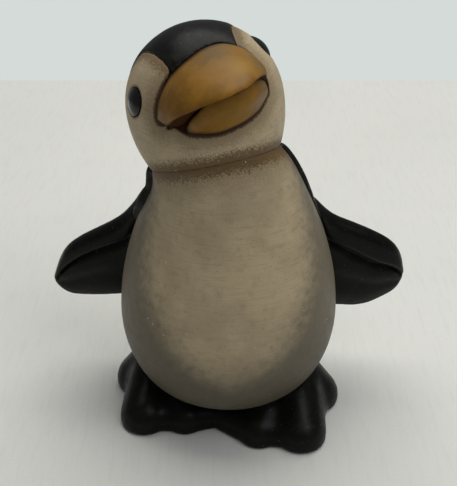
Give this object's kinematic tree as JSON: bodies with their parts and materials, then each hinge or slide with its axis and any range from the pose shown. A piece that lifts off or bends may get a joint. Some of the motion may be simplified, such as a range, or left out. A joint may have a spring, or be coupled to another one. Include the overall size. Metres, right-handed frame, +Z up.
{
  "type": "penguin figurine",
  "caption": "Free-standing painted penguin ornament with a hollow body, turned head, wide beak, spread flippers and rounded webbed feet.",
  "frame": {"origin": "on the ground, under the middle of the bounding box", "axes": "+Z up, the penguin's belly faces -Y, and its own left side is at +X"},
  "size_m": [0.1424, 0.0874, 0.1553],
  "materials": {
    "cream_paint": "satin, brown wash in the creases",
    "black_paint": "satin",
    "amber_paint": "semi-gloss, shaded brown",
    "black_bead": "gloss",
    "dowel_wood": "raw",
    "pin_steel": "plain",
    "stopper_rubber": "matte",
    "pad_felt": "felt"
  },
  "bodies": {
    "root": {"body_shell": "cream_paint", "back_coat": "black_paint", "head_shell": "cream_paint", "crown_cap": "black_paint", "upper_beak": "amber_paint", "lower_beak": "amber_paint", "left_eye": "black_bead", "right_eye": "black_bead", "left_wing": "black_paint", "right_wing": "black_paint", "feet_base": "black_paint", "tail": "black_paint", "neck_dowel": "dowel_wood", "wing_dowels": "pin_steel", "foot_dowels": "dowel_wood", "tail_peg": "dowel_wood", "base_stopper": "stopper_rubber", "felt_pads": "pad_felt"}
  },
  "joints": []
}
